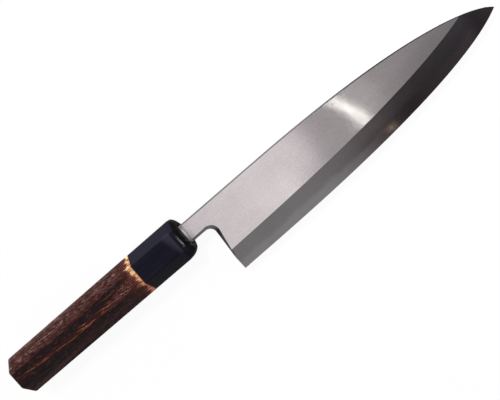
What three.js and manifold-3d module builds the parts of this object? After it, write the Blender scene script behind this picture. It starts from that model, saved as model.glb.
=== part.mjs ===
// A mioroshi deba: a single-bevel fish knife with an octagonal wooden handle.
// Sizes are in millimetres. X runs from the butt to the tip, Y from the edge to the spine,
// and Z from the hollow back of the blade to its bevelled front. X = 0 is the front face of
// the ferrule, Y = 0 the middle of the handle and Z = 0 the flat back of the blade, until
// the last lines stand the whole knife on the underside of its handle.

import * as THREE from 'three';
import { mergeVertices } from 'three/addons/utils/BufferGeometryUtils.js';
import Module from 'manifold-3d';

const wasm = await Module();
wasm.setup();

// Blade outline
const bladeLength = 210; // heel to tip
const heelHeight = 45.7; // spine to edge at the heel
const tipDrop = 23.1; // from the straight of the spine down to the tip
const heelSetback = 13.2; // ferrule to heel
const spineStraight = 51; // heel to where the spine starts to curve
const spineFullness = 0.892; // how far the spine keeps its line before it sweeps down
const edgeHeelAngle = 1.9; // degrees that the edge rises from the heel
const edgeHeelPull = 0.12; // shares of the blade's length that the edge holds each end's angle
const edgeTipAngle = 28; // degrees that the edge rises into the tip
const edgeTipPull = 0.23;

// Blade section
const neckThickness = 5.7; // at the ferrule
const tipThickness = 1.6; // where the taper of the flat would end at the tip
const bevelWidthAtHeel = 14.4; // edge to ridge
const bevelWidthAtTip = 16.2;
const spineChamfer = 0.9;
const backChamfer = 0.5; // the spine's other corner, at the back
const grindRadius = 420; // wheel that hollows the back
const spineRim = 3; // flat left beside the hollow, along the spine
const edgeRim = 2.2; // and along the edge
const hollowStart = 6; // from the notch to the beginning of the hollow
const hollowRunIn = 26; // length over which the wheel sinks to its depth
const steelShare = 0.33; // of the thickness that is edge steel
const weldSeam = 0.05;

// Neck, notch and tang
const neckHeight = 12.5;
const neckRise = 0.15; // how far the neck sits toward the spine from the handle's axis
const notchRadius = 4.6; // between the neck and the heel side
const notchUndercut = 2.1; // how far the heel reaches back past the top of the notch
const notchChamfer = 1.5; // at the ferrule
const notchChamferTilt = 4; // degrees by which it deepens toward the heel
const neckInsertion = 9; // length of the neck inside the ferrule
const steelSetback = 6; // ferrule to the back end of the edge steel
const tangLength = 100; // ferrule to the tang's end
const tangRootHeight = 9;
const tangRootThickness = 4.2;
const tangEndHeight = 5;
const tangEndThickness = 2.6;

// Handle and ferrule
const handleLength = 137; // butt to ferrule front, over both pieces
const ferruleLength = 34;
const gripThickness = 22; // between the broad flats
const frontWidth = 26.85; // between the narrow flats at the ferrule's front
const buttWidth = 26.5;
const facetLeg = 6.95; // the four sloping facets, along Y and along Z
const arrisEase = 0.8; // rounding along the eight long edges
const frontLength = 5; // of the rounded chamfer round the ferrule's front face
const frontDrop = 3.8; // how far that face is set in from the surface
const frontFullness = 1.4; // 1 is a straight chamfer and 2 a full round
const frontSkew = 0.37; // share by which the chamfer is shorter at the spine side and longer at the other
const buttChamfer = 1.3;
const buttEase = 0.6; // rounding of the chamfer's edges at the butt
const tenonDiameter = 16;
const tenonLength = 22;
const tenonChamfer = 0.8;

// Fits
const glueGap = 0.25; // between glued faces
const endGap = 0.3; // between end faces that meet
const beddingThickness = 0.8;
const sealThickness = 0.5;
const sealDepth = 3; // inside the slot
const sealProud = 0.7; // in front of the ferrule
const sealLip = 0.12; // thickness left at its front

// Fineness of the facets
const bladeStations = 66;
const stationEasing = 1.6; // above 1 crowds the stations toward the tip
const hollowSteps = 10;
const roundSteps = 40;
const easeSteps = 4;
const frontCount = 12;
const ridgeLand = 0.06; // least width of the flat, beyond the end of the ridge

// Places that follow from the sizes
const spineY = neckRise + neckHeight / 2;
const neckBottomY = neckRise - neckHeight / 2;
const heelX = heelSetback;
const heelY = spineY - heelHeight;
const tipX = heelX + bladeLength;
const tipY = spineY - tipDrop;
const notchX = heelX + notchUndercut;
const axisZ = neckThickness / 2;
const jointX = -ferruleLength;
const buttX = -handleLength;
const tenonEndX = jointX + tenonLength;
const slotClearance = sealThickness + 2 * glueGap;
const beddingClearance = beddingThickness + 2 * glueGap;
const clearOfAll = 100; // cutters reach this far past the knife
const fuseOverlap = 1; // how far joined shapes run into each other
const insetShrink = 2 - Math.SQRT2; // change of a 45 degree corner's legs for each unit of inset

const point = (x, y, z) => new THREE.Vector3(x, y, z);

// A closed solid through rings of points, in order along X. Each ring runs counter-clockwise
// as seen from the tip. Both ends close on the ring's middle, or the last one on a given point.
function loft(rings, apex) {
  const count = rings[0].length;
  const points = rings.flat();
  const faces = [];
  for (let r = 0; r + 1 < rings.length; r++) {
    for (let i = 0; i < count; i++) {
      const a = r * count + i;
      const b = r * count + ((i + 1) % count);
      faces.push(a, b, a + count, b, b + count, a + count);
    }
  }
  const middleOf = (ring) => ring.reduce((sum, p) => sum.add(p), point(0, 0, 0)).divideScalar(count);
  const lastRing = (rings.length - 1) * count;
  const frontHub = points.push(apex ?? middleOf(rings.at(-1))) - 1;
  const backHub = points.push(middleOf(rings[0])) - 1;
  for (let i = 0; i < count; i++) {
    const next = (i + 1) % count;
    faces.push(lastRing + i, lastRing + next, frontHub);
    faces.push(next, i, backHub);
  }
  const geometry = new THREE.BufferGeometry().setFromPoints(points);
  geometry.setIndex(faces);
  return geometry;
}

// Solids for joining and cutting
function solid(geometry) {
  const bare = geometry.clone();
  bare.deleteAttribute('normal');
  bare.deleteAttribute('uv');
  const merged = mergeVertices(bare, 1e-5);
  const vertProperties = new Float32Array(merged.attributes.position.array);
  const triVerts = new Uint32Array(merged.index.array);
  return new wasm.Manifold(new wasm.Mesh({ numProp: 3, vertProperties, triVerts }));
}

function geometryOf(body) {
  const { vertProperties, triVerts, numProp } = body.getMesh();
  const geometry = new THREE.BufferGeometry();
  geometry.setAttribute('position', new THREE.BufferAttribute(vertProperties, numProp));
  geometry.setIndex(new THREE.BufferAttribute(triVerts, 1));
  return geometry;
}

// Outline curves of the blade
const degrees = THREE.MathUtils.degToRad;
const heading = (angle, length) =>
  new THREE.Vector2(Math.cos(degrees(angle)), Math.sin(degrees(angle))).multiplyScalar(length);
const tip = new THREE.Vector2(tipX, tipY);
const heel = new THREE.Vector2(heelX, heelY);
const spineBreak = new THREE.Vector2(heelX + spineStraight, spineY);
const spineHandle = new THREE.Vector2(THREE.MathUtils.lerp(spineBreak.x, tipX, spineFullness), spineY);
const spineCurve = new THREE.CubicBezierCurve(spineBreak, spineHandle, tip, tip);
const edgeCurve = new THREE.CubicBezierCurve(
  heel,
  heel.clone().add(heading(edgeHeelAngle, edgeHeelPull * bladeLength)),
  tip.clone().sub(heading(edgeTipAngle, edgeTipPull * bladeLength)),
  tip,
);

// The height of a curve at a place along the blade. Before its start it keeps its height.
function heightAt(curve, x) {
  if (x <= curve.v0.x) return curve.v0.y;
  let low = 0;
  let high = 1;
  while (high - low > 1e-9) {
    const middle = (low + high) / 2;
    if (curve.getPoint(middle).x < x) low = middle;
    else high = middle;
  }
  return curve.getPoint(low).y;
}

// The flat is one plane from the ferrule to the tip. Inside the ferrule the neck is parallel.
const thicknessAt = (x) => THREE.MathUtils.mapLinear(Math.max(x, 0), 0, tipX, neckThickness, tipThickness);
const bevelWidthAt = (x) => THREE.MathUtils.mapLinear(x, heelX, tipX, bevelWidthAtHeel, bevelWidthAtTip);

// One section across the blade, from the edge along the back, round the spine and over the
// flat to the ridge. Beyond the place where the ridge meets the spine, the bevel takes the
// whole width.
function bladeRing(x) {
  const spine = heightAt(spineCurve, x);
  const edge = heightAt(edgeCurve, x);
  const height = spine - edge;
  const ridge = edge + bevelWidthAt(x);
  const topAt = (y) => thicknessAt(x) * Math.min(1, (y - edge) / bevelWidthAt(x));
  const chamfer = Math.min(spineChamfer, topAt(spine) / 4, height / 8);
  const backCorner = Math.min(backChamfer, topAt(spine) / 8, height / 16);
  const shoulder = spine - chamfer;
  const ridgeEnd = Math.min(ridge, shoulder - Math.min(ridgeLand, chamfer / 4));
  const hollowTop = spine - Math.min(spineRim, height / 4);
  const hollowBottom = edge + Math.min(edgeRim, height / 4);
  const middle = (hollowTop + hollowBottom) / 2;
  const halfWidth = (hollowTop - hollowBottom) / 2;
  const sunk = THREE.MathUtils.smoothstep(x, notchX + hollowStart, notchX + hollowStart + hollowRunIn);
  const ring = [point(x, edge, 0)];
  for (let i = 0; i <= hollowSteps; i++) {
    const y = THREE.MathUtils.lerp(hollowBottom, hollowTop, i / hollowSteps);
    const depth = (halfWidth ** 2 - (y - middle) ** 2) / (2 * grindRadius);
    ring.push(point(x, y, sunk * depth));
  }
  ring.push(
    point(x, spine - backCorner, 0),
    point(x, spine, backCorner),
    point(x, spine, topAt(spine) - chamfer),
    point(x, shoulder, topAt(shoulder)),
    point(x, ridgeEnd, topAt(ridgeEnd)),
  );
  return ring;
}

function bladeBlank() {
  const rings = [bladeRing(-neckInsertion), bladeRing(0)];
  for (let i = 0; i < bladeStations; i++) {
    const along = 1 - (1 - i / bladeStations) ** stationEasing;
    rings.push(bladeRing(heelX + along * bladeLength));
  }
  return solid(loft(rings, point(tipX, tipY, 0)));
}

// The open corner between the neck and the heel, as an outline that reaches past the edge
function notchShape() {
  const shape = new THREE.Shape();
  shape.moveTo(-clearOfAll, neckBottomY);
  shape.lineTo(notchX - notchRadius, neckBottomY);
  shape.absarc(notchX - notchRadius, neckBottomY - notchRadius, notchRadius, Math.PI / 2, 0, true);
  shape.lineTo(heelX, heelY);
  shape.lineTo(heelX, heelY - clearOfAll);
  shape.lineTo(-clearOfAll, heelY - clearOfAll);
  shape.closePath();
  return shape;
}

function notchCutter() {
  const through = new THREE.ExtrudeGeometry(notchShape(), {
    depth: 2 * clearOfAll,
    bevelEnabled: false,
    curveSegments: roundSteps / 4,
  });
  through.translate(0, 0, -clearOfAll);
  const chamfer = new THREE.ExtrudeGeometry(notchShape(), {
    depth: clearOfAll,
    bevelSize: notchChamfer,
    bevelThickness: notchChamfer,
    bevelSegments: 1,
    curveSegments: roundSteps / 4,
  });
  chamfer.rotateY(degrees(notchChamferTilt)).translate(0, 0, neckThickness);
  return solid(through).add(solid(chamfer));
}

// The tapered tang, grown all round by a margin, from one place on X to another
function tangSolid(margin, startX, endX) {
  const ring = (x) => {
    const share = THREE.MathUtils.mapLinear(x, -neckInsertion, -tangLength, 0, 1);
    const halfHeight = THREE.MathUtils.lerp(tangRootHeight, tangEndHeight, share) / 2 + margin;
    const halfThickness = THREE.MathUtils.lerp(tangRootThickness, tangEndThickness, share) / 2 + margin;
    return [
      point(x, -halfHeight, axisZ - halfThickness),
      point(x, halfHeight, axisZ - halfThickness),
      point(x, halfHeight, axisZ + halfThickness),
      point(x, -halfHeight, axisZ + halfThickness),
    ];
  };
  return solid(loft([ring(endX), ring(startX)]));
}

// Everything behind the weld plane, which keeps its share of the tapering thickness
function steelSide(startX, lift) {
  const ring = (x) => {
    const top = thicknessAt(x) * steelShare + lift;
    return [
      point(x, -clearOfAll, -clearOfAll),
      point(x, clearOfAll, -clearOfAll),
      point(x, clearOfAll, top),
      point(x, -clearOfAll, top),
    ];
  };
  return solid(loft([ring(startX), ring(tipX + fuseOverlap)]));
}

const ground = bladeBlank().subtract(notchCutter());
const bladeBody = ground
  .subtract(steelSide(steelSetback - weldSeam, weldSeam))
  .add(tangSolid(0, fuseOverlap - neckInsertion, -tangLength));
const edgeSteel = ground.intersect(steelSide(steelSetback, 0));

// One octagon of the handle, set in from the surface, with its corners eased
function octagonRing(x, inset) {
  const halfWidth = THREE.MathUtils.mapLinear(x, 0, buttX, frontWidth, buttWidth) / 2 - inset;
  const halfThickness = gripThickness / 2 - inset;
  const leg = facetLeg - inset * insetShrink;
  const quarter = [
    new THREE.Vector2(halfWidth, halfThickness - leg),
    new THREE.Vector2(halfWidth - leg, halfThickness),
  ];
  const corners = [
    ...quarter,
    ...quarter.map((c) => new THREE.Vector2(-c.x, c.y)).reverse(),
    ...quarter.map((c) => new THREE.Vector2(-c.x, -c.y)),
    ...quarter.map((c) => new THREE.Vector2(c.x, -c.y)).reverse(),
  ];
  const toward = (from, to) => from.clone().add(to.clone().sub(from).setLength(arrisEase));
  return corners.flatMap((corner, i) => {
    const before = corners.at(i - 1);
    const after = corners[(i + 1) % corners.length];
    const bend = new THREE.QuadraticBezierCurve(toward(corner, before), corner, toward(corner, after));
    return bend.getPoints(easeSteps).map((p) => point(x, p.x, axisZ + p.y));
  });
}

// Distances back from an end face and in from the surface: at the butt down a chamfer with eased
// edges, and at the ferrule's front down a rounded one
function buttSteps() {
  const path = new THREE.Path();
  path.moveTo(buttChamfer + buttEase, 0);
  path.quadraticCurveTo(buttChamfer, 0, buttChamfer - buttEase, buttEase);
  path.lineTo(buttEase, buttChamfer - buttEase);
  path.quadraticCurveTo(0, buttChamfer, 0, buttChamfer + buttEase);
  return path.getPoints(easeSteps);
}

function frontSteps() {
  return Array.from({ length: frontCount + 1 }, (_, i) => {
    const turn = (i / frontCount) * (Math.PI / 2);
    const back = 1 - Math.sin(turn) ** (2 / frontFullness);
    const inward = 1 - Math.cos(turn) ** (2 / frontFullness);
    return new THREE.Vector2(frontLength * back, frontDrop * inward);
  });
}

// The ferrule's front was shaped by hand: its chamfer grows longer away from the spine side
function frontRing(step) {
  const ring = octagonRing(-step.x, step.y);
  ring.forEach((p) => p.setX(p.x * (1 - (frontSkew * p.y) / (frontWidth / 2))));
  return ring;
}

// A shape drawn in the plane of Y and Z, extruded along X from one place to another
function extrudeAlongX(shape, startX, endX) {
  const geometry = new THREE.ExtrudeGeometry(shape, { depth: endX - startX, bevelEnabled: false });
  const turn = new THREE.Matrix4().makeBasis(point(0, 1, 0), point(0, 0, 1), point(1, 0, 0));
  return geometry.applyMatrix4(turn).translate(startX, 0, 0);
}

// The neck's section, grown all round by a margin
function neckShape(margin) {
  const top = spineY + margin;
  const bottom = neckBottomY - margin;
  const front = neckThickness + margin;
  const back = -margin;
  const corner = (size) => size + margin * insetShrink;
  return new THREE.Shape([
    new THREE.Vector2(bottom, back),
    new THREE.Vector2(top - corner(backChamfer), back),
    new THREE.Vector2(top, back + corner(backChamfer)),
    new THREE.Vector2(top, front - corner(spineChamfer)),
    new THREE.Vector2(top - corner(spineChamfer), front),
    new THREE.Vector2(bottom + corner(notchChamfer), front),
    new THREE.Vector2(bottom, front - corner(notchChamfer)),
  ]);
}

// A round bar along the handle's axis, with its front edge chamfered
function roundBar(radius, startX, endX, chamfer) {
  const profile = [
    new THREE.Vector2(0, startX),
    new THREE.Vector2(radius, startX),
    new THREE.Vector2(radius, endX - chamfer),
    new THREE.Vector2(radius - chamfer, endX),
    new THREE.Vector2(0, endX),
  ];
  const geometry = new THREE.LatheGeometry(profile, roundSteps);
  return solid(geometry.rotateZ(-Math.PI / 2).translate(0, 0, axisZ));
}

// Ferrule: slotted for the neck at the front, bored for the tenon at the back
const ferruleRings = [
  octagonRing(jointX, 0),
  ...frontSteps().map(frontRing),
];
const ferrule = solid(loft(ferruleRings))
  .subtract(roundBar(tenonDiameter / 2 + glueGap, jointX - fuseOverlap, tenonEndX + endGap, tenonChamfer))
  .subtract(solid(extrudeAlongX(neckShape(slotClearance), tenonEndX, fuseOverlap)));

// Handle: a tenon at the front, and a blind hole for the tang in its bedding
const boreEndX = -tangLength - beddingClearance;
const handleRings = [
  ...buttSteps().map((step) => octagonRing(buttX + step.x, step.y)).reverse(),
  octagonRing(jointX - endGap, 0),
];
const handle = solid(loft(handleRings))
  .add(roundBar(tenonDiameter / 2, jointX - endGap - fuseOverlap, tenonEndX, tenonChamfer))
  .subtract(tangSolid(beddingClearance, tenonEndX + fuseOverlap, boreEndX));

// Bedding: a cup that fills the hole round the tang
const beddingEndX = boreEndX + glueGap;
const beddingOuter = tangSolid(glueGap + beddingThickness, tenonEndX, beddingEndX);
const tangRoom = tangSolid(glueGap, tenonEndX + fuseOverlap, -tangLength - glueGap);
const tangBedding = beddingOuter.subtract(tangRoom);

// Seal: a plug between the neck and the slot, with a bead that thins to a lip along the neck
const sealRing = (x, thickness) =>
  neckShape(glueGap + thickness).getPoints().map((p) => point(x, p.x, p.y));
const sealOuter = solid(
  loft([sealRing(-sealDepth, sealThickness), sealRing(0, sealThickness), sealRing(sealProud, sealLip)]),
);
const neckRoom = solid(extrudeAlongX(neckShape(glueGap), -sealDepth - fuseOverlap, sealProud + fuseOverlap));
const mouthSeal = sealOuter.subtract(neckRoom);

const knife = new THREE.Group();
function addPiece(name, body, color, roughness, metalness) {
  const material = new THREE.MeshStandardMaterial({ color, roughness, metalness });
  const piece = new THREE.Mesh(geometryOf(body), material);
  piece.name = name;
  knife.add(piece);
}
addPiece('blade_body', bladeBody, 0xbdb8b8, 0.35, 1);
addPiece('edge_steel', edgeSteel, 0xd0cdcf, 0.2, 1);
addPiece('ferrule', ferrule, 0x1b1a22, 0.3, 0);
addPiece('handle', handle, 0x4a2a22, 0.55, 0);
addPiece('tang_bedding', tangBedding, 0x9a7a48, 0.5, 0);
addPiece('mouth_seal', mouthSeal, 0xd8d2c4, 0.5, 0);

// Stand the knife on its handle, with the origin below the middle of its box
const box = new THREE.Box3().setFromObject(knife);
const middle = box.getCenter(new THREE.Vector3());
knife.position.set(-middle.x, -middle.y, -box.min.z);
knife.updateMatrixWorld(true);

export default knife;
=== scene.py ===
from math import cos, radians

import bmesh
import bpy
from mathutils import Matrix, Vector


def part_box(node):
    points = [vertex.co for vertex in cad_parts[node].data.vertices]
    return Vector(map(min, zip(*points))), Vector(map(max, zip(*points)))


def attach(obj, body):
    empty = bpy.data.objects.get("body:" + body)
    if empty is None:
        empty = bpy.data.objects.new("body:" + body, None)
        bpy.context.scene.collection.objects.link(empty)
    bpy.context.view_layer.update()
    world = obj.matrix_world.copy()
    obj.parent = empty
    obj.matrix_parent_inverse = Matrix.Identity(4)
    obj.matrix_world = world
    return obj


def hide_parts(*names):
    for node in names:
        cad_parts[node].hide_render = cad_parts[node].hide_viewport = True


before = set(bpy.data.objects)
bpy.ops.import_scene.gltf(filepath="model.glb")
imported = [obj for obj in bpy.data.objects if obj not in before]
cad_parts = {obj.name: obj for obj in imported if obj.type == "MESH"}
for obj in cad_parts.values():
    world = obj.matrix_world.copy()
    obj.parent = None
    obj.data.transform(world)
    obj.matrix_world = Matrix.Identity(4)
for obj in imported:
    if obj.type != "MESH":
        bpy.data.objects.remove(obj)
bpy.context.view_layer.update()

scene = bpy.context.scene
scene.view_settings.view_transform = "Standard"
mm = 0.001

# Places that the finishes are measured from: the middle of the ferrule's front and the blade's back
ferruleLow, ferruleHigh = (Vector(corner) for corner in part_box("ferrule"))
ferruleMiddle = (ferruleLow + ferruleHigh) / 2
frontMiddle = Vector((ferruleHigh.x, ferruleMiddle.y, ferruleMiddle.z))
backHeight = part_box("edge_steel")[0][2]


# Small helpers for node trees
def addNode(tree, kind, **settings):
    node = tree.nodes.new(kind)
    for name, value in settings.items():
        setattr(node, name, value)
    return node


def setInputs(node, **values):
    for name, value in values.items():
        node.inputs[name.replace("_", " ")].default_value = value


def wire(tree, source, target):
    tree.links.new(source, target)


def mathNode(tree, operation, first, second=None, clamp=False):
    node = addNode(tree, "ShaderNodeMath", operation=operation, use_clamp=clamp)
    for socket, value in zip(node.inputs, (first, second)):
        if value is None:
            continue
        if isinstance(value, (int, float)):
            socket.default_value = value
        else:
            wire(tree, value, socket)
    return node.outputs[0]


def plus(tree, total, *others):
    for other in others:
        total = mathNode(tree, "ADD", total, other)
    return total


def times(tree, product, *others):
    for other in others:
        product = mathNode(tree, "MULTIPLY", product, other)
    return product


def minus(tree, first, second):
    return mathNode(tree, "SUBTRACT", first, second)


def over(tree, first, second):
    return mathNode(tree, "DIVIDE", first, second)


def larger(tree, first, second):
    return mathNode(tree, "MAXIMUM", first, second)


def size(tree, value):
    return mathNode(tree, "ABSOLUTE", value)


def swing(tree, value, reach):
    return times(tree, minus(tree, value, 0.5), reach)


def weighed(tree, first, second, shares):
    return plus(tree, times(tree, first, shares[0]), times(tree, second, shares[1]))


def between(tree, share, first, second):
    return plus(tree, first, times(tree, share, minus(tree, second, first)))


def ramp01(tree, value, low, high, toLow=0.0, toHigh=1.0):
    node = addNode(tree, "ShaderNodeMapRange", interpolation_type="SMOOTHSTEP")
    wire(tree, value, node.inputs["Value"])
    node.inputs["From Min"].default_value = low
    node.inputs["From Max"].default_value = high
    node.inputs["To Min"].default_value = toLow
    node.inputs["To Max"].default_value = toHigh
    return node.outputs["Result"]


def mixColour(tree, factor, first, second, blend="MIX"):
    node = addNode(tree, "ShaderNodeMix", data_type="RGBA", blend_type=blend)
    for socket, value in ((node.inputs[0], factor), (node.inputs[6], first), (node.inputs[7], second)):
        if isinstance(value, (int, float)):
            socket.default_value = value
        elif isinstance(value, tuple):
            socket.default_value = (*value, 1.0)
        else:
            wire(tree, value, socket)
    return node.outputs[2]


def noise(tree, vector, scale, detail=2.0, roughness=0.5):
    node = addNode(tree, "ShaderNodeTexNoise")
    setInputs(node, Scale=scale, Detail=detail, Roughness=roughness)
    wire(tree, vector, node.inputs["Vector"])
    return node.outputs["Fac"]


def mapped(tree, vector, location=(0, 0, 0), rotation=(0, 0, 0), scale=(1, 1, 1)):
    node = addNode(tree, "ShaderNodeMapping")
    setInputs(node, Location=location, Rotation=rotation, Scale=scale)
    wire(tree, vector, node.inputs["Vector"])
    return node.outputs["Vector"]


# Noise that is drawn out along one axis
def grain(tree, vector, look):
    drawn = mapped(tree, vector, look.get("shift", (0, 0, 0)), scale=look["scale"])
    return noise(tree, drawn, 1.0, look.get("detail", 1.0), look.get("rough", 0.5))


def inMillimetres(tree, place, origin):
    return mapped(tree, place, tuple(-v / mm for v in origin), scale=(1 / mm,) * 3)


def split(tree, vector):
    node = addNode(tree, "ShaderNodeSeparateXYZ")
    wire(tree, vector, node.inputs[0])
    return node.outputs


def newMaterial(name):
    material = bpy.data.materials.new(name)
    material.use_nodes = True
    tree = material.node_tree
    shader = tree.nodes["Principled BSDF"]
    place = addNode(tree, "ShaderNodeTexCoord").outputs["Object"]
    return material, tree, shader, place


def bumpInto(tree, shader, height, strength, depth):
    bump = addNode(tree, "ShaderNodeBump")
    setInputs(bump, Strength=strength, Distance=depth * mm)
    wire(tree, height, bump.inputs["Height"])
    wire(tree, bump.outputs["Normal"], shader.inputs["Normal"])


# Camera: near and straight above, turned so that the knife lies across the picture
cameraSetup = {
    "place": (105.01 * mm, -2.05 * mm, 310.0 * mm),  # from the middle of the ferrule's front
    "right": (0.7561, -0.6526, -0.0489),
    "up": (0.6486, 0.7573, -0.0767),
    "lens": 37.93,
    "sensor": 36.0,
    "shift": (-0.0894, -0.0736),
    "clip": (0.01, 50.0),
}


def makeCamera(setup):
    data = bpy.data.cameras.new("camera")
    data.lens = setup["lens"]
    data.sensor_width = setup["sensor"]
    data.sensor_fit = "HORIZONTAL"
    data.shift_x, data.shift_y = setup["shift"]
    data.clip_start, data.clip_end = setup["clip"]
    right = Vector(setup["right"]).normalized()
    back = right.cross(Vector(setup["up"])).normalized()
    up = back.cross(right)
    turn = Matrix((right, up, back)).transposed().to_4x4()
    camera = bpy.data.objects.new("camera", data)
    camera.matrix_world = Matrix.Translation(frontMiddle + Vector(setup["place"])) @ turn
    scene.collection.objects.link(camera)
    scene.camera = camera


makeCamera(cameraSetup)
print("camera placed")


# Floor: a wide pale sheet, lifted towards white where it is only background
floorSetup = {
    "reach": 4.0,
    "cells": 8,
    "tone": (0.95, 0.95, 0.95),
    "speckTone": (0.98, 0.98, 0.98),
    "speck": (60.0, 3.0),  # scale and detail
    "rough": 0.9,
    "lift": 0.93,
}


def makeFloor(setup):
    bm = bmesh.new()
    cells = setup["cells"]
    bmesh.ops.create_grid(bm, x_segments=cells, y_segments=cells, size=setup["reach"])
    mesh = bpy.data.meshes.new("floor")
    bm.to_mesh(mesh)
    bm.free()
    floor = bpy.data.objects.new("floor", mesh)
    scene.collection.objects.link(floor)
    material, tree, shader, place = newMaterial("palePaper")
    tone = mixColour(tree, noise(tree, place, *setup["speck"]), setup["tone"], setup["speckTone"])
    wire(tree, tone, shader.inputs["Base Color"])
    setInputs(shader, Roughness=setup["rough"], Specular_IOR_Level=0.0)
    white = addNode(tree, "ShaderNodeEmission")
    setInputs(white, Color=(1, 1, 1, 1), Strength=1.0)
    rays = addNode(tree, "ShaderNodeLightPath")
    seen = plus(tree, rays.outputs["Is Camera Ray"], rays.outputs["Is Glossy Ray"])
    seen = mathNode(tree, "ADD", seen, rays.outputs["Is Transmission Ray"], clamp=True)
    blend = addNode(tree, "ShaderNodeMixShader")
    wire(tree, times(tree, seen, setup["lift"]), blend.inputs[0])
    wire(tree, shader.outputs["BSDF"], blend.inputs[1])
    wire(tree, white.outputs["Emission"], blend.inputs[2])
    wire(tree, blend.outputs["Shader"], tree.nodes["Material Output"].inputs["Surface"])
    mesh.materials.append(material)


makeFloor(floorSetup)


# Room: pale all round, a soft panel overhead on the handle side, dim above the tip
roomSetup = {
    "horizon": 0.05,
    "ring": 0.86,
    "ringTop": (0.28, 0.55),
    "panel": (0.97, 1.09),
    "panelBright": (-0.20, -0.09),
    "panelStart": (-0.37, -0.27),
    "panelEnd": (-0.035, 0.013, 1.0, 0.0),
    "panelSlant": (-0.038, -0.07, 0.0, 0.05),
    "panelEdgeSide": (-0.45, -0.22),
    "panelSpineSide": (0.5, 0.8, 1.0, 0.0),
    "ceiling": (0.43, 0.28),
    "ceilingAlong": (0.11, 0.29),
    "shade": 0.28,
    "shadeAcross": (-0.14, -0.28),
    "dark": 0.89,
    "darkAlong": (-0.10, 0.26),
    "darkEnd": (0.23, 0.34, 1.0, 0.82),
}


def makeRoom(setup):
    world = bpy.data.worlds.new("room")
    scene.world = world
    world.use_nodes = True
    tree = world.node_tree
    glow = tree.nodes["Background"]
    x, y, z = split(tree, addNode(tree, "ShaderNodeTexCoord").outputs["Generated"])
    rise = larger(tree, z, setup["horizon"])
    along = over(tree, x, rise)
    across = over(tree, y, rise)
    slanted = plus(tree, along, ramp01(tree, across, *setup["panelSlant"]))
    panel = times(
        tree,
        ramp01(tree, along, *setup["panelStart"]),
        ramp01(tree, slanted, *setup["panelEnd"]),
        ramp01(tree, across, *setup["panelEdgeSide"]),
        ramp01(tree, across, *setup["panelSpineSide"]),
    )
    # the ceiling falls off towards the tip, and is darkest beyond the tip on the edge side
    ceiling = ramp01(tree, along, *setup["ceilingAlong"], *setup["ceiling"])
    edgeSide = ramp01(tree, across, *setup["shadeAcross"])
    ceiling = times(tree, ceiling, minus(tree, 1.0, times(tree, edgeSide, setup["shade"])))
    tipSide = ramp01(tree, along, *setup["darkAlong"])
    tipSide = times(tree, tipSide, ramp01(tree, along, *setup["darkEnd"]))
    ceiling = times(tree, ceiling, minus(tree, 1.0, times(tree, edgeSide, tipSide, setup["dark"])))
    lit = ramp01(tree, along, *setup["panelBright"], *setup["panel"])
    overhead = between(tree, panel, ceiling, lit)
    level = between(tree, ramp01(tree, z, *setup["ringTop"]), setup["ring"], overhead)
    wire(tree, level, glow.inputs["Color"])
    setInputs(glow, Strength=1.0)


makeRoom(roomSetup)


# Lamps: a soft key high on the spine's side, a narrow tube and its glow that draw the streak across
# the flat, a low one ahead of the tip that catches the ferrule's front, and a warm one for the edge
lampSetup = {
    "key": {"place": (0.06, 0.76, 1.20), "aim": (0.0, 0.0, 0.0), "size": (0.3, 0.3), "power": 12.0},
    "tube": {
        "place": (0.1925, -0.018, 1.20), "aim": (0.1925, -0.018, 0.0), "turn": 20.0,
        "size": (0.006, 0.20), "power": 0.031, "colour": (0.914, 1.0, 0.905),
    },
    "front": {
        "place": (0.777, -0.062, 0.669), "aim": (-0.04, 0.01, 0.01),
        "size": (0.05, 0.18), "power": 1.7,
    },
    "glow": {
        "place": (0.220, 0.040, 1.20), "aim": (0.220, 0.040, 0.0), "turn": 17.0,
        "size": (0.10, 0.20), "power": 0.008, "colour": (0.93, 1.0, 0.94),
    },
    "spark": {
        "place": (0.238, -0.552, 1.0), "aim": (0.093, -0.019, 0.009),
        "size": (0.02, 0.02), "power": 0.0014, "colour": (1.0, 0.93, 0.58),
    },
}


def makeLamp(name, setup):
    data = bpy.data.lights.new(name, "AREA")
    data.shape = "RECTANGLE"
    data.size, data.size_y = setup["size"]
    data.energy = setup["power"]
    data.color = setup.get("colour", (1.0, 1.0, 1.0))
    lamp = bpy.data.objects.new(name, data)
    way = Vector(setup["aim"]) - Vector(setup["place"])
    turn = Matrix.Rotation(radians(setup.get("turn", 0.0)), 4, "Z")
    aimed = turn @ way.to_track_quat("-Z", "Y").to_matrix().to_4x4()
    lamp.matrix_world = Matrix.Translation(setup["place"]) @ aimed
    lamp.visible_camera = False
    scene.collection.objects.link(lamp)


for lampName, lampValues in lampSetup.items():
    makeLamp(lampName, lampValues)
print("floor, room and lamps placed")


# Effects that several finishes share: lines from grinding, and soft clouds
grindLook = {
    "broad": (1.0, 3.0, 0.6),  # scale, detail and roughness
    "fine": (3.3, 2.0, 0.6),
    "shares": (0.6, 0.4),
    "contrast": (0.3, 0.7),
}
cloudLook = {"detail": 3.0, "rough": 0.55, "twist": 0.4, "contrast": (0.32, 0.68)}


def newGroup(name, inputs, output):
    group = bpy.data.node_groups.new(name, "ShaderNodeTree")
    for socketName, kind in inputs.items():
        group.interface.new_socket(socketName, in_out="INPUT", socket_type=kind)
    group.interface.new_socket(output, in_out="OUTPUT", socket_type="NodeSocketFloat")
    return group, addNode(group, "NodeGroupInput"), addNode(group, "NodeGroupOutput")


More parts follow.
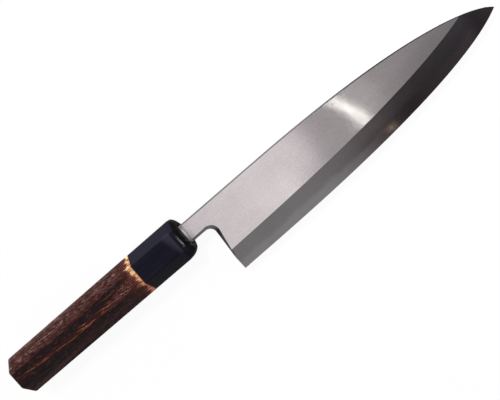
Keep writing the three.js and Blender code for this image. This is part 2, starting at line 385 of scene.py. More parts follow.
def makeGrindMarks(look):
    sockets = {"Vector": "NodeSocketVector", "Along": "NodeSocketFloat", "Across": "NodeSocketFloat"}
    group, start, end = newGroup("grindMarks", sockets, "Marks")
    stretch = addNode(group, "ShaderNodeCombineXYZ")
    for axis, way in (("X", "Along"), ("Y", "Across"), ("Z", "Across")):
        wire(group, start.outputs[way], stretch.inputs[axis])
    drawn = addNode(group, "ShaderNodeVectorMath", operation="MULTIPLY")
    wire(group, start.outputs["Vector"], drawn.inputs[0])
    wire(group, stretch.outputs[0], drawn.inputs[1])
    broad = noise(group, drawn.outputs[0], *look["broad"])
    fine = noise(group, drawn.outputs[0], *look["fine"])
    lines = weighed(group, broad, fine, look["shares"])
    wire(group, ramp01(group, lines, *look["contrast"]), end.inputs["Marks"])
    return group


def makeClouds(look):
    sockets = {"Vector": "NodeSocketVector", "Scale": "NodeSocketFloat"}
    group, start, end = newGroup("clouds", sockets, "Cloud")
    soft = addNode(group, "ShaderNodeTexNoise")
    setInputs(soft, Detail=look["detail"], Roughness=look["rough"], Distortion=look["twist"])
    wire(group, start.outputs["Vector"], soft.inputs["Vector"])
    wire(group, start.outputs["Scale"], soft.inputs["Scale"])
    wire(group, ramp01(group, soft.outputs["Fac"], *look["contrast"]), end.inputs["Cloud"])
    return group


grindMarks = makeGrindMarks(grindLook)
clouds = makeClouds(cloudLook)


def useGroup(tree, group, vector, **values):
    node = addNode(tree, "ShaderNodeGroup", node_tree=group)
    wire(tree, vector, node.inputs["Vector"])
    setInputs(node, **values)
    return node.outputs[0]


# Blade steel: what every ground surface shares, then one finish for each
bladeTaper = {"neck": 5.7, "tip": 1.6, "length": 223.2}
taperSlope = (bladeTaper["neck"] - bladeTaper["tip"]) / bladeTaper["length"]
steelShared = {
    "cloudScale": 38.0,
    "shares": (0.55, 0.45),  # of the grind marks and of the clouds
    "shadeSpecularTint": (0.1, 0.1, 0.1, 1.0),
    "strokeAcross": 0.91,
    "strokeTurn": (-17.0, 2.0, -0.08, -0.50),
    "bump": 0.02,
}
steelFinish = {
    "flatSatin": {
        "dark": (0.578, 0.521, 0.536), "light": (0.663, 0.602, 0.615), "rough": (0.106, 0.124),
        "stretch": 0.92, "along": 45.0, "across": 2400.0, "relief": 0.05,
        "speckGrain": {"scale": (1000.0, 1400.0, 1400.0)}, "speck": (0.3, 0.7, 0.955, 1.045),
        "sparkleGrain": {"scale": (520.0, 900.0, 900.0)}, "sparkle": 6.0,
        # painted shade and grime beside the seal, and a painted shadow line along its lip
        "shadeGrime": (0.20, 0.19, 0.19), "shadeGrimeAlong": (1.6, 6.5, 1.0, 0.0),
        "shadeGrimeAcross": (3.0, -4.0, 0.2, 0.5), "lipShadowLine": 2.2, "lipShadowWidth": (0.0, 0.5, 0.75, 0.0),
    },
    "bevelHaze": {
        "dark": (0.44, 0.420, 0.43), "light": (0.52, 0.498, 0.51), "rough": (0.165, 0.195),
        "stretch": 0.30, "along": 60.0, "across": 2000.0, "relief": 0.05,
        "weld": (0.22, 0.50, 1.0, 0.0), "waver": 0.30,
        "waverGrain": {"scale": (90.0, 160.0, 160.0), "detail": 2.0},
        "edgeDark": (0.55, 0.525, 0.535), "edgeLight": (0.66, 0.632, 0.641),
        # edgeTip, dim, cool and tipDark paint a dark reflection towards the tip
        "edgeTip": (0.48, 0.425, 0.435), "edgeTipAlong": (112.0, 138.0),
        "edgeRough": (140.0, 165.0, 0.08, 0.155),
        "haze": (0.95, 0.92, 0.93), "ridgeFrom": (0.25, 0.9),
        "ridgeAlong": (85.0, 125.0, 0.0, 0.45), "ridgeEnd": (145.0, 165.0, 1.0, 0.5),
        "dim": (0.80, 0.80, 0.81), "dimAlong": (95.0, 125.0),
        "cool": (0.70, 0.72, 0.76), "coolAlong": (155.0, 200.0),
        "warm": (1.0, 0.90, 0.925), "warmAlong": (85.0, 125.0),
        "tipDark": (0.10, 0.092, 0.10), "tipAlong": (200.0, 211.0, 0.0, 0.7),
    },
    # painted dark reflection: the chamfers and the notch get much darker steel than the flat
    "chamferGrey": {
        "dark": (0.18, 0.178, 0.185), "light": (0.27, 0.264, 0.27), "rough": (0.22, 0.30),
        "stretch": 0.0, "along": 90.0, "across": 1800.0, "relief": 0.05,
        "paintedShade": (0.016, 0.0155, 0.017), "paintedShadeAlong": (95.0, 160.0),
    },
    "notchDark": {
        "dark": (0.12, 0.118, 0.122), "light": (0.185, 0.181, 0.185), "rough": (0.24, 0.32),
        "stretch": 0.0, "along": 90.0, "across": 1800.0, "relief": 0.05,
        "paintedShade": (0.095, 0.093, 0.098), "paintedShadeAcross": (-5.5, -10.5),
    },
    "backSatin": {
        "dark": (0.47, 0.455, 0.46), "light": (0.56, 0.54, 0.545), "rough": (0.26, 0.33),
        "stretch": 0.55, "along": 70.0, "across": 2200.0, "relief": 0.06,
    },
}


def makeSteel(name, finish):
    material, tree, shader, place = newMaterial(name)
    x, y, z = split(tree, inMillimetres(tree, place, (frontMiddle.x, frontMiddle.y, backHeight)))
    marks = useGroup(tree, grindMarks, place, Along=finish["along"], Across=finish["across"])
    cloud = useGroup(tree, clouds, place, Scale=steelShared["cloudScale"])
    tone = weighed(tree, marks, cloud, steelShared["shares"])
    colour = mixColour(tree, tone, finish["dark"], finish["light"])
    low, high = finish["rough"]
    rough = ramp01(tree, marks, 0.0, 1.0, high, low)
    relief = marks
    if "weld" in finish:
        # towards the tip the bevel is hazier below the ridge, and painted dimmer and cooler as a painted
        # dark reflection
        rise = over(tree, z, minus(tree, bladeTaper["neck"], times(tree, x, taperSlope)))
        haze = times(
            tree,
            ramp01(tree, rise, *finish["ridgeFrom"]),
            ramp01(tree, x, *finish["ridgeAlong"]),
            ramp01(tree, x, *finish["ridgeEnd"]),
        )
        colour = mixColour(tree, haze, colour, finish["haze"])
        for tint in ("dim", "cool"):
            reach = ramp01(tree, x, *finish[tint + "Along"])
            colour = mixColour(tree, reach, colour, finish[tint], "MULTIPLY")
        # the hard steel shows brighter along the edge, up to a weld line that wavers a little
        hard = mixColour(tree, tone, finish["edgeDark"], finish["edgeLight"])
        # the hard steel is painted darker towards the tip, a painted dark reflection
        hard = mixColour(tree, ramp01(tree, x, *finish["edgeTipAlong"]), hard, finish["edgeTip"])
        waver = swing(tree, grain(tree, place, finish["waverGrain"]), finish["waver"])
        share = ramp01(tree, plus(tree, rise, waver), *finish["weld"])
        colour = mixColour(tree, share, colour, hard)
        rough = between(tree, share, rough, ramp01(tree, x, *finish["edgeRough"]))
        # both steels are warmer from the middle on, and the point is painted darkest, a painted dark
        # reflection
        warm = ramp01(tree, x, *finish["warmAlong"])
        colour = mixColour(tree, warm, colour, finish["warm"], "MULTIPLY")
        colour = mixColour(tree, ramp01(tree, x, *finish["tipAlong"]), colour, finish["tipDark"])
    if "shadeGrime" in finish:
        # painted shade and a painted dark reflection of the ferrule beside the seal, partly grime,
        # darkest in a painted shadow line along the seal's lip
        shadeGrimeMask = ramp01(tree, x, *finish["shadeGrimeAlong"])
        shadeGrimeMask = times(tree, shadeGrimeMask, ramp01(tree, y, *finish["shadeGrimeAcross"]))
        lipShadow = ramp01(tree, size(tree, minus(tree, x, finish["lipShadowLine"])), *finish["lipShadowWidth"])
        colour = mixColour(tree, larger(tree, shadeGrimeMask, lipShadow), colour, finish["shadeGrime"])
    # painted shade: the chamfer is darkened towards the tip and the notch towards the choil, and their
    # reflections are tinted dark
    if "paintedShade" in finish:
        if "paintedShadeAlong" in finish:
            stain = ramp01(tree, x, *finish["paintedShadeAlong"])
        else:
            stain = ramp01(tree, y, *finish["paintedShadeAcross"])
        colour = mixColour(tree, stain, colour, finish["paintedShade"])
        setInputs(shader, Specular_Tint=steelShared["shadeSpecularTint"])
    if "speck" in finish:
        # single grains of the ground surface, coarse enough to sparkle where the streak fades
        speck = ramp01(tree, grain(tree, place, finish["speckGrain"]), *finish["speck"])
        colour = mixColour(tree, 1.0, colour, speck, "MULTIPLY")
        sparkle = grain(tree, place, finish["sparkleGrain"])
        relief = plus(tree, marks, times(tree, sparkle, finish["sparkle"]))
    if finish["stretch"]:
        # gloss spreads across the grind lines, which turn a little between the ridge and the spine
        stroke = addNode(tree, "ShaderNodeCombineXYZ")
        setInputs(stroke, Y=steelShared["strokeAcross"])
        wire(tree, ramp01(tree, y, *steelShared["strokeTurn"]), stroke.inputs["X"])
        wire(tree, stroke.outputs[0], shader.inputs["Tangent"])
    wire(tree, colour, shader.inputs["Base Color"])
    wire(tree, rough, shader.inputs["Roughness"])
    setInputs(shader, Metallic=1.0, Anisotropic=finish["stretch"])
    bumpInto(tree, shader, relief, finish["relief"], steelShared["bump"])
    return material


steels = {name: makeSteel(name, finish) for name, finish in steelFinish.items()}


# Black horn: almost black with a blue cast, drawn out fibres, a soft polish
hornFinish = {
    "deep": (0.0070, 0.0068, 0.0134),
    "fibre": (0.0116, 0.0112, 0.0202),
    "fibreGrain": {"scale": (28.0, 420.0, 420.0), "detail": 4.0, "rough": 0.6},
    "fibreCut": (0.35, 0.72),
    "cloudScale": 70.0,
    "clouded": (0.6, 0.4),  # share of the clouds, and what shows without them
    # painted light on the facet beside the spine, painted shade on the facet on the edge side
    "spineSheen": (0.0142, 0.0136, 0.0250),
    "spineSide": (6.0, 7.4),
    "edgeShade": (0.0045, 0.0044, 0.0080),
    "edgeSide": (-6.0, -7.4),
    # painted sheen: the flats are painted paler before the front's chamfer, and painted shade darkens the
    # front round the slot
    "rubbed": (0.0270, 0.0248, 0.0370),
    "sheenStart": (-10.0, -5.0),
    "sheenSlant": 0.35,
    "sheenEnd": (-4.6, -4.0, 1.0, 0.0),
    "sheenHeight": (9.6, 10.4),
    "slotShade": (0.0016, 0.0015, 0.0022),
    "slotShadeFade": (-2.6, -1.2),
    # the front is glossiest at one place, and duller to both sides of it
    "rough": (0.13, 0.16),
    "polishAt": -1.2,
    "polishFade": (1.4, 9.0, 0.0, 0.50),
    "polishAlong": (-6.0, -5.0),
    "gloss": 0.06,
    "relief": 0.02,
    "bump": 0.02,
}


def makeHorn(finish):
    material, tree, shader, place = newMaterial("blackHorn")
    x, y, z = split(tree, inMillimetres(tree, place, frontMiddle))
    cloud = useGroup(tree, clouds, place, Scale=finish["cloudScale"])
    streaks = ramp01(tree, grain(tree, place, finish["fibreGrain"]), *finish["fibreCut"])
    share, least = finish["clouded"]
    tone = times(tree, streaks, plus(tree, times(tree, cloud, share), least))
    colour = mixColour(tree, tone, finish["deep"], finish["fibre"])
    # painted light on the facet beside the spine, painted shade on the facet on the edge side
    colour = mixColour(tree, ramp01(tree, y, *finish["spineSide"]), colour, finish["spineSheen"])
    colour = mixColour(tree, ramp01(tree, y, *finish["edgeSide"]), colour, finish["edgeShade"])
    # painted sheen on the flats just before the front's chamfer
    rub = ramp01(tree, plus(tree, x, times(tree, y, finish["sheenSlant"])), *finish["sheenStart"])
    rub = times(tree, rub, ramp01(tree, x, *finish["sheenEnd"]))
    rub = times(tree, rub, ramp01(tree, size(tree, z), *finish["sheenHeight"]))
    colour = mixColour(tree, rub, colour, finish["rubbed"])
    # painted shade: the front round the slot is darkened
    colour = mixColour(tree, ramp01(tree, x, *finish["slotShadeFade"]), colour, finish["slotShade"])
    wire(tree, colour, shader.inputs["Base Color"])
    away = size(tree, minus(tree, y, finish["polishAt"]))
    dulled = ramp01(tree, away, *finish["polishFade"])
    dulled = times(tree, dulled, ramp01(tree, x, *finish["polishAlong"]))
    rough = plus(tree, ramp01(tree, cloud, 0.0, 1.0, *finish["rough"]), dulled)
    wire(tree, rough, shader.inputs["Roughness"])
    setInputs(shader, Specular_IOR_Level=finish["gloss"])
    bumpInto(tree, shader, cloud, finish["relief"], finish["bump"])
    return material


# Burnt chestnut: the rings lie flat to the facet beside the spine, so that facet is all open pores,
# the near flat shows one ring as broken strands between charred bands, and the edge side is charred over
woodGrain = {
    "wander": {"scale": (0.016, 0.11, 0.11), "detail": 2.0},
    "ripple": {"scale": (0.10, 0.9, 0.9), "detail": 3.0, "rough": 0.6},
    "fibre": {"scale": (0.34, 1.9, 1.9), "detail": 3.0, "rough": 0.6},
    "blotch": {"scale": (0.30, 0.80, 0.80), "detail": 3.0, "rough": 0.6},
    "tint": {"scale": (0.13, 0.32, 0.32), "shift": (9.0, 4.0, 2.0)},
    "fleck": {"scale": (0.28, 0.95, 0.95), "shift": (7.0, 1.0, 6.0)},
    "strand": {"scale": (0.07, 2.2, 0.5), "detail": 2.0, "rough": 0.55},
    "dash": {"scale": (0.28, 1.25, 1.25), "detail": 2.0, "rough": 0.6},
    "dot": {"scale": (1.05, 1.9, 1.9), "shift": (4.0, 2.0, 7.0)},
    "lump": {"scale": (0.10, 0.34, 0.34), "detail": 2.0},
    "tongue": {"scale": (0.15, 0.80, 0.80), "detail": 4.0, "rough": 0.65},
    "pale": {"scale": (0.30, 0.62, 0.62), "shift": (2.0, 8.0, 3.0)},
    "crack": {"scale": (0.22, 1.05, 1.05), "detail": 1.5, "shift": (3.0, 5.0, 1.0)},
}
woodFinish = {
    "turn": -45.0,
    # charred ground
    "char": (0.0135, 0.0072, 0.0066),
    "charBlue": (0.0115, 0.0080, 0.0112),
    "charBrown": (0.0290, 0.0138, 0.0130),
    "fleck": (0.0850, 0.0360, 0.0300),
    "blueCut": (0.38, 0.62),
    "speckleShares": (0.6, 0.4),
    "brownCut": (0.47, 0.66),
    "fleckCut": (0.59, 0.69, 0.0, 0.38),
    # rings
    "ringRed": (0.0330, 0.0098, 0.0082),
    "ringAt": 7.12,
    "ringStep": 5.0,
    "ringStart": 10.5,
    "ringRipple": 0.9,
    "swayBack": (-134.0, -62.0, 0.0, -1.27),
    "swayFront": (-58.0, -34.0, 0.0, 1.84),
    "spreadBack": (-134.0, -60.0, 0.85, 1.15),
    "spreadFront": (-70.0, -44.0, 0.0, 1.0),
    "zone": (0.75, 1.35, 1.0, 0.0),
    "zoneEnd": (9.2, 10.0, 1.0, 0.0),
    "charred": (9.6, 11.4, 1.0, 0.10),
    "redFibre": (0.28, 0.58, 0.35, 1.0),
    # strands and dots in the rings
    "strandPink": (0.185, 0.076, 0.057),
    "strandRed": (0.225, 0.072, 0.052),
    "strandOrange": (0.265, 0.094, 0.046),
    "strandLean": 3.5,
    "strandCut": (0.53, 0.60),
    "strandBreaks": (0.40, 0.52, 0.20, 1.0),
    "orangeStart": (-125.0, -95.0),
    "orangeEnd": (-66.0, -50.0, 1.0, 0.0),
    "redAlong": (-60.0, -48.0),
    "frontDashes": (-66.0, -48.0, 0.0, 0.5),
    "dots": (0.34, 0.195, 0.165),
    "dotCut": (0.57, 0.66),
    "dotsAlong": (-62.0, -44.0, 0.0, 0.60),
    # stain along the edge side
    "stain": (0.0480, 0.0225, 0.0195),
    "stainPath": (-134.0, -66.0, -4.4, -1.1),
    "stainWidth": (0.6, 2.4, 1.0, 0.0),
    "stainSide": (10.6, 11.8),
    "stainFade": (-118.0, -70.0, 1.0, 0.40),
    "stainSpeckle": (0.36, 0.60, 0.3, 1.3),
    # open pores
    "brownDark": (0.024, 0.0070, 0.0062),
    "brownLight": (0.068, 0.0235, 0.0208),
    "brownFibre": (0.40, 0.60),
    "poreWander": 1.6,
    "poreEdge": (10.15, 10.85),
    "poreEdgeFront": (-85.0, -60.0, 0.0, 0.7),
    "arrisHighlight": (0.110, 0.064, 0.057),
    "rimStart": (-2.6, -6.0),
    "rimEnd": (-9.0, -7.2),
    "rimFade": (-86.0, -66.0, 1.0, 0.45),
    "rimShare": 0.55,
    "dashPink": (0.27, 0.155, 0.130),
    "dashSlant": 8.0,
    "dashCut": (0.53, 0.61),
    "dashRow": (-134.0, -56.0, 1.1, -1.1),
    "rowWander": 1.2,
    "rowWidth": (0.5, 2.0, 1.0, 0.0),
    "dashShares": (0.52, 0.22),  # in the row and along the rim
    "dashLeast": 0.20,
    # bare wood beside the joint
    "cream": (0.91, 0.54, 0.285),
    "creamPale": (0.95, 0.71, 0.47),
    "creamDark": (0.60, 0.27, 0.125),
    "bareOrange": (0.68, 0.300, 0.145),
    "bareBrown": (0.54, 0.200, 0.118),
    "crack": (0.125, 0.036, 0.017),
    "fringe": (0.20, 0.075, 0.046),
    "scorchRed": (0.064, 0.0165, 0.0130),
    "joint": -34.0,
    "bareReach": 3.9,
    "bareLumps": 5.5,
    "bareTongues": 10.0,
    "bareShorter": (5.0, 10.5, 0.0, 1.1),
    "bareFade": (-0.3, 0.5),
    "fringeFade": (-2.0, -0.2, 0.0, 0.65),
    "scorchFade": (-9.0, -1.5, 0.0, 0.62),
    "sideTongues": 5.0,
    "patchCut": (0.36, 0.56),
    "paleCut": (0.53, 0.65),
    "orangeSide": (5.5, 11.5),
    "brownSide": (9.5, 13.0),
    "crackCut": (0.51, 0.57),
    "crackDepth": (0.3, 2.4, 0.45, 1.0),
    "crackTint": (0.36, 0.52, 0.5, 1.0),
    "jointShadow": (0.85, 0.40, 0.0, 0.8),
    # butt and surface
    "buttGrey": (0.076, 0.061, 0.058),
    "buttAlong": (-134.2, -136.2, 0.0, 0.6),
    "rough": (0.3, 0.7, 0.62, 0.46),
    "gloss": 0.03,
    "poreDepth": 0.8,
    "relief": 0.25,
    "bump": 0.12,
}


def makeWood(finish):
    material, tree, shader, place = newMaterial("burntChestnut")
    # millimetres from the ferrule's front, turned so that one cross axis runs through the rings
    measured = inMillimetres(tree, place, frontMiddle)
    turned = mapped(tree, measured, rotation=(radians(finish["turn"]), 0, 0))
    leaning = mapped(tree, turned, rotation=(0, 0, radians(finish["strandLean"])))
    slanted = mapped(tree, turned, rotation=(0, radians(finish["dashSlant"]), 0))
    ways = {"strand": leaning, "dash": slanted, "dot": slanted}
    grains = {name: grain(tree, ways.get(name, turned), look) for name, look in woodGrain.items()}
    length, through, tangent = split(tree, turned)

    # charred ground: brownish or bluish black, blotched
    blue = ramp01(tree, grains["tint"], *finish["blueCut"])
    colour = mixColour(tree, blue, finish["char"], finish["charBlue"])
    speckled = weighed(tree, grains["blotch"], grains["fibre"], finish["speckleShares"])
    colour = mixColour(tree, ramp01(tree, speckled, *finish["brownCut"]), colour, finish["charBrown"])
    colour = mixColour(tree, ramp01(tree, grains["fleck"], *finish["fleckCut"]), colour, finish["fleck"])

    # rings: a red zone round each one, with broken strands in it
    sway = ramp01(tree, length, *finish["swayBack"])
    sway = plus(tree, sway, ramp01(tree, length, *finish["swayFront"]))
    ring = minus(tree, through, plus(tree, sway, finish["ringAt"]))
    ring = plus(tree, ring, swing(tree, grains["ripple"], finish["ringRipple"]))
    turns = plus(tree, over(tree, ring, finish["ringStep"]), finish["ringStart"])
    off = size(tree, swing(tree, mathNode(tree, "FRACT", turns), finish["ringStep"]))
    spread = ramp01(tree, length, *finish["spreadBack"])
    spread = plus(tree, spread, ramp01(tree, length, *finish["spreadFront"]))
    zone = ramp01(tree, over(tree, off, spread), *finish["zone"])
    zone = times(tree, zone, ramp01(tree, tangent, *finish["charred"]))
    zone = times(tree, zone, ramp01(tree, through, *finish["zoneEnd"]))
    redZone = times(tree, zone, ramp01(tree, grains["fibre"], *finish["redFibre"]))
    colour = mixColour(tree, redZone, colour, finish["ringRed"])
    strands = times(
        tree,
        ramp01(tree, grains["strand"], *finish["strandCut"]),
        ramp01(tree, grains["fibre"], *finish["strandBreaks"]),
        zone,
    )
    dashes = ramp01(tree, grains["dash"], *finish["dashCut"])
    frontDashes = times(tree, dashes, zone, ramp01(tree, length, *finish["frontDashes"]))
    orange = ramp01(tree, length, *finish["orangeStart"])
    orange = times(tree, orange, ramp01(tree, length, *finish["orangeEnd"]))
    strandTone = mixColour(tree, orange, finish["strandPink"], finish["strandOrange"])
    red = ramp01(tree, length, *finish["redAlong"])
    strandTone = mixColour(tree, red, strandTone, finish["strandRed"])
    colour = mixColour(tree, larger(tree, strands, frontDashes), colour, strandTone)
    dots = times(
        tree,
        ramp01(tree, grains["dot"], *finish["dotCut"]),
        zone,
        ramp01(tree, length, *finish["dotsAlong"]),
    )
    colour = mixColour(tree, dots, colour, finish["dots"])

    # a brown stain along the edge side
    aside = size(tree, minus(tree, through, ramp01(tree, length, *finish["stainPath"])))
    stain = times(
        tree,
        ramp01(tree, aside, *finish["stainWidth"]),
        ramp01(tree, tangent, *finish["stainSide"]),
        ramp01(tree, length, *finish["stainFade"]),
        ramp01(tree, speckled, *finish["stainSpeckle"]),
    )
    colour = mixColour(tree, stain, colour, finish["stain"])

    # open pores: dusky brown with slanted pale dashes, thickest in a row and towards the arris, where
    # they are painted paler as a painted highlight
    wander = plus(
        tree,
        swing(tree, grains["wander"], finish["poreWander"]),
        swing(tree, grains["ripple"], finish["poreWander"]),
    )
    poreEdge = minus(tree, plus(tree, through, wander), ramp01(tree, length, *finish["poreEdgeFront"]))
    pored = ramp01(tree, poreEdge, *finish["poreEdge"])
    brownTone = ramp01(tree, grains["fibre"], *finish["brownFibre"])
    brown = mixColour(tree, brownTone, finish["brownDark"], finish["brownLight"])
    rim = times(
        tree,
        ramp01(tree, tangent, *finish["rimStart"]),
        ramp01(tree, tangent, *finish["rimEnd"]),
        ramp01(tree, length, *finish["rimFade"]),
    )
    # painted highlight: the pores are painted paler along the arris
    brown = mixColour(tree, times(tree, rim, finish["rimShare"]), brown, finish["arrisHighlight"])
    colour = mixColour(tree, pored, colour, brown)
    rowPath = ramp01(tree, length, *finish["dashRow"])
    rowPath = plus(tree, rowPath, swing(tree, grains["wander"], finish["rowWander"]))
    row = ramp01(tree, size(tree, minus(tree, tangent, rowPath)), *finish["rowWidth"])
    amount = plus(tree, weighed(tree, row, rim, finish["dashShares"]), finish["dashLeast"])
    colour = mixColour(tree, times(tree, dashes, pored, amount), colour, finish["dashPink"])

    # bare wood beside the joint: patchy cream, cracked along the grain, with a ragged scorched border
    depth = minus(tree, finish["joint"], length)
    ragged = plus(
        tree,
        swing(tree, grains["lump"], finish["bareLumps"]),
        swing(tree, grains["tongue"], finish["bareTongues"]),
    )
    reach = plus(tree, finish["bareReach"], ragged)
    reach = minus(tree, reach, ramp01(tree, tangent, *finish["bareShorter"]))
    left = minus(tree, reach, depth)
    colour = mixColour(tree, ramp01(tree, left, *finish["scorchFade"]), colour, finish["scorchRed"])
    colour = mixColour(tree, ramp01(tree, left, *finish["fringeFade"]), colour, finish["fringe"])
    patches = ramp01(tree, grains["blotch"], *finish["patchCut"])
    bare = mixColour(tree, patches, finish["cream"], finish["creamDark"])
    bare = mixColour(tree, ramp01(tree, grains["pale"], *finish["paleCut"]), bare, finish["creamPale"])
    side = plus(tree, tangent, swing(tree, grains["tongue"], finish["sideTongues"]))
    bare = mixColour(tree, ramp01(tree, side, *finish["orangeSide"]), bare, finish["bareOrange"])
    bare = mixColour(tree, ramp01(tree, side, *finish["brownSide"]), bare, finish["bareBrown"])
    cracks = times(
        tree,
        ramp01(tree, grains["crack"], *finish["crackCut"]),
        ramp01(tree, depth, *finish["crackDepth"]),
        ramp01(tree, grains["tint"], *finish["crackTint"]),
    )
    bare = mixColour(tree, cracks, bare, finish["crack"])
    # painted shadow: a dark line on the wood along the joint with the ferrule
    bare = mixColour(tree, ramp01(tree, depth, *finish["jointShadow"]), bare, finish["crack"])
    colour = mixColour(tree, ramp01(tree, left, *finish["bareFade"]), colour, bare)

    # the butt is greyer on the pored side
    butt = times(tree, ramp01(tree, length, *finish["buttAlong"]), pored)
    colour = mixColour(tree, butt, colour, finish["buttGrey"])
    wire(tree, colour, shader.inputs["Base Color"])
    wire(tree, ramp01(tree, grains["fibre"], *finish["rough"]), shader.inputs["Roughness"])
    setInputs(shader, Specular_IOR_Level=finish["gloss"])
    relief = minus(tree, grains["fibre"], times(tree, dashes, finish["poreDepth"]))
    bumpInto(tree, shader, relief, finish["relief"], finish["bump"])
    return material


# Fillers: the pale bead round the neck, clearest on its upper half and painted dull as shade towards the
# ferrule's slot and at its front, and the hidden resin
fillerShared = {"cloudScale": 320.0, "relief": 0.1, "bump": 0.05}
sealFinish = {
    "dull": (0.13, 0.125, 0.125),
    "clear": (0.67, 0.645, 0.65),
    "rough": (0.16, 0.30),
    "clearCloud": (0.0, 1.0, 0.8, 1.0),
    "clearAcross": (-6.0, 2.5),
    "clearTop": (2.5, 5.5, 1.0, 0.12),
    "clearAlong": (-0.1, 0.8),
    "clearFront": (1.0, 1.5, 1.0, 0.38),
}
resinFinish = {"dull": (0.20, 0.13, 0.06), "clear": (0.34, 0.24, 0.12), "rough": (0.30, 0.45)}


def makeFiller(name, finish):
    material, tree, shader, place = newMaterial(name)
    cloud = useGroup(tree, clouds, place, Scale=fillerShared["cloudScale"])
    clear = cloud
    if "clearCloud" in finish:
        x, y, _ = split(tree, inMillimetres(tree, place, frontMiddle))
        clear = times(
            tree,
            ramp01(tree, cloud, *finish["clearCloud"]),
            ramp01(tree, y, *finish["clearAcross"]),
            ramp01(tree, y, *finish["clearTop"]),
            # painted shade: the bead is painted dull inside the ferrule's slot and towards its front
            ramp01(tree, x, *finish["clearAlong"]),
            ramp01(tree, x, *finish["clearFront"]),
        )
    wire(tree, mixColour(tree, clear, finish["dull"], finish["clear"]), shader.inputs["Base Color"])
    low, high = finish["rough"]
    wire(tree, ramp01(tree, cloud, 0.0, 1.0, high, low), shader.inputs["Roughness"])
    bumpInto(tree, shader, cloud, fillerShared["relief"], fillerShared["bump"])
    return material


horn = makeHorn(hornFinish)
wood = makeWood(woodFinish)
seal = makeFiller("paleSeal", sealFinish)
resin = makeFiller("amberResin", resinFinish)
print("finishes made")


# Pieces: each is a merged copy of its CAD node, so that its shading can be set
copySetup = {"merge": 0.002, "sharpAngle": 34.0, "flatAngle": 0.02}


def startCopy(node):
    bm = bmesh.new()
    bm.from_mesh(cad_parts[node].data)
    bmesh.ops.remove_doubles(bm, verts=bm.verts, dist=copySetup["merge"] * mm)
    bm.normal_update()
    return bm


def finishCopy(bm, name, node, materials, sharpAngle):
    bm.normal_update()
    for face in bm.faces:
        face.smooth = True
    for edge in bm.edges:
        if len(edge.link_faces) != 2:
            continue
        first, second = edge.link_faces
        apart = first.material_index != second.material_index
        edge.smooth = not apart and edge.calc_face_angle() < radians(sharpAngle)
    mesh = bpy.data.meshes.new(name)
    bm.to_mesh(mesh)
    bm.free()
    for material in materials:
        mesh.materials.append(material)
    piece = bpy.data.objects.new(name, mesh)
    scene.collection.objects.link(piece)
    even = piece.modifiers.new("evenShading", "WEIGHTED_NORMAL")
    even.keep_sharp = True
    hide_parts(node)
    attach(piece, "root")


# Notch: its chamfer runs straight up to the flat, and is widest round the fillet
notchEase = {
    "middle": (10.7, -10.7),
    "reach": 9.0,
    "wallFoot": 4.2,
    "wallLean": 0.1,
    "widen": (0.3, 1.45),
    "widenRate": 1.5,
    "heelEnd": -24.6,
    "topReach": 15.5,
    "topBack": 6.0,
    "topGap": 0.03,
}


def easeNotch(bm):
    middle = frontMiddle.xy + Vector(notchEase["middle"]) * mm
    walls = {}
    for edge in bm.edges:
        foot, top = sorted(edge.verts, key=lambda vert: vert.co.z)
        upright = (top.co.xy - foot.co.xy).length < notchEase["wallLean"] * mm
        nearby = (foot.co.xy - middle).length < notchEase["reach"] * mm
        if upright and nearby and foot.co.z > backHeight + notchEase["wallFoot"] * mm:
            walls[foot] = top
    bmesh.ops.weld_verts(bm, targetmap=walls)
    least, most = notchEase["widen"]
    heelEnd = frontMiddle.y + notchEase["heelEnd"] * mm
    for vert in bm.verts:
        x, y, z = vert.co
        away = vert.co.xy - middle
        flat = backHeight + bladeTaper["neck"] * mm - taperSlope * (x - frontMiddle.x)
        onFlat = abs(z - flat) <= notchEase["topGap"] * mm
        around = away.length <= notchEase["topReach"] * mm and x >= middle.x - notchEase["topBack"] * mm
        if not onFlat or not around or y < heelEnd:
            continue
        if y > middle.y:
            turned = away.angle(Vector((1.0, 0.0))) / radians(90.0)
            share = min(1.0, notchEase["widenRate"] * (1.0 - turned))
            push = away.normalized() * (least + (most - least) * share) * mm
        else:
            push = Vector((most * mm * (y - heelEnd) / (middle.y - heelEnd), 0.0))
        vert.co = (x + push.x, y + push.y, z - taperSlope * push.x)


# Which ground surface a face of the blade belongs to, told by the way it faces
bladeSides = {
    "flatWay": (0.01836, 0.0, 0.99983),
    "flatTilt": 0.6,
    "bevelRise": 0.80,
    "bevelLean": -0.06,
    "backDrop": -0.9,
    "spineLean": 0.3,
    "heelReach": 18.0,
    "sharpAngle": 30.0,
}
bladeZones = ["flatSatin", "bevelHaze", "chamferGrey", "notchDark", "backSatin"]


def bladeZone(face, welded):
    normal = face.normal
    fromFront = (face.calc_center_median() - frontMiddle) / mm
    heel = fromFront.x < bladeSides["heelReach"] and fromFront.y > notchEase["heelEnd"]
    if normal.z > bladeSides["bevelRise"] and normal.y < bladeSides["bevelLean"] and not heel:
        return "bevelHaze"
    if normal.z < bladeSides["backDrop"]:
        return "backSatin"
    if normal.dot(Vector(bladeSides["flatWay"])) > cos(radians(bladeSides["flatTilt"])):
        # painted shade: the hidden welded face gets the dark notch finish, so the seam shows dark
        return "notchDark" if welded else "flatSatin"  # the welded face lies hidden in the seam
    return "chamferGrey" if normal.y > bladeSides["spineLean"] else "notchDark"


# Seam: the hard steel's upper face is raised almost to the body, and slides up the bevel where it shows
seamFit = {"rise": 0.0495}


def closeSeam(bm):
    hidden = bladeZones.index("notchDark")
    bevel = bladeZones.index("bevelHaze")
    lifts = {}
    for vert in bm.verts:
        tops = [face.normal for face in vert.link_faces if face.material_index == hidden]
        slopes = [face.normal for face in vert.link_faces if face.material_index == bevel]
        if not tops:
            continue
        way = tops[0].copy()
        if slopes:
            way -= way.project(slopes[0])
        way.normalize()
        lifts[vert] = way * (seamFit["rise"] * mm / way.dot(tops[0]))
    for vert, lift in lifts.items():
        vert.co += lift


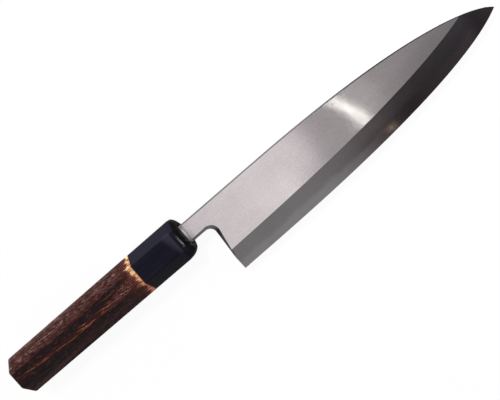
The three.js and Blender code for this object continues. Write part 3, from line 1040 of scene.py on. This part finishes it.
def makeBladePiece(node, name, welded):
    bm = startCopy(node)
    if not welded:
        easeNotch(bm)
        bm.normal_update()
    for face in bm.faces:
        face.material_index = bladeZones.index(bladeZone(face, welded))
    if welded:
        closeSeam(bm)
    finishCopy(bm, name, node, [steels[zone] for zone in bladeZones], bladeSides["sharpAngle"])


# The ferrule's rounded front is cut into narrow strips, so that its gloss runs evenly
frontStrips = {
    "depth": 8.0,
    "joinAngle": 12.0,
    "shapeAngle": 180.0,
    "lean": 0.3,
    "longerThan": 3.0,
    "cuts": 5,
}


def evenFront(bm):
    start = frontMiddle.x - frontStrips["depth"] * mm
    bmesh.ops.join_triangles(
        bm,
        faces=[face for face in bm.faces if len(face.verts) == 3 and face.calc_center_median().x > start],
        angle_face_threshold=radians(frontStrips["joinAngle"]),
        angle_shape_threshold=radians(frontStrips["shapeAngle"]),
    )
    edges = []
    for edge in bm.edges:
        run = edge.verts[1].co - edge.verts[0].co
        inFront = min(vert.co.x for vert in edge.verts) > start
        crosswise = abs(run.x) < frontStrips["lean"] * run.length
        if inFront and crosswise and run.length > frontStrips["longerThan"] * mm:
            edges.append(edge)
    bmesh.ops.subdivide_edges(bm, edges=edges, cuts=frontStrips["cuts"], use_grid_fill=True)


def makeHandlePiece(node, name, material):
    bm = startCopy(node)
    flat = radians(copySetup["flatAngle"])
    bmesh.ops.dissolve_limit(bm, angle_limit=flat, verts=bm.verts, edges=bm.edges, delimit=set())
    if node == "ferrule":
        evenFront(bm)
    finishCopy(bm, name, node, [material], copySetup["sharpAngle"])


# Seal: its inner wall is drawn in against the neck, so that the bead meets the steel
sealFit = {
    "neckBottom": -6.1,
    "neckTop": 6.4,
    "neckThickness": 5.7,
    "reach": 0.3,
    "thin": 0.12,
    "drawnFrom": 0.3,
    "drawnOut": 1.1,
}


def makeSeal():
    bm = startCopy("mouth_seal")
    bottom = frontMiddle.y + sealFit["neckBottom"] * mm
    top = frontMiddle.y + sealFit["neckTop"] * mm
    low = backHeight
    high = backHeight + sealFit["neckThickness"] * mm
    reach = sealFit["reach"] * mm
    for vert in bm.verts:
        x, y, z = vert.co
        inner = bottom - reach < y < top + reach and low - reach < z < high + reach
        wall = 0.0 if inner else sealFit["thin"] * mm
        y = max(bottom - wall, min(top + wall, y))
        z = max(low - wall, min(high + wall, z))
        if x > frontMiddle.x + sealFit["drawnFrom"] * mm:
            x += sealFit["drawnOut"] * mm
        vert.co = (x, y, z)
    finishCopy(bm, "neckSeal", "mouth_seal", [seal], copySetup["sharpAngle"])


makeBladePiece("blade_body", "bladeBody", False)
makeBladePiece("edge_steel", "cuttingSteel", True)
makeHandlePiece("ferrule", "hornFerrule", horn)
makeHandlePiece("handle", "burntHandle", wood)
makeSeal()

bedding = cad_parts["tang_bedding"]
for materialSlot in bedding.material_slots:
    materialSlot.material = resin
print("pieces made")
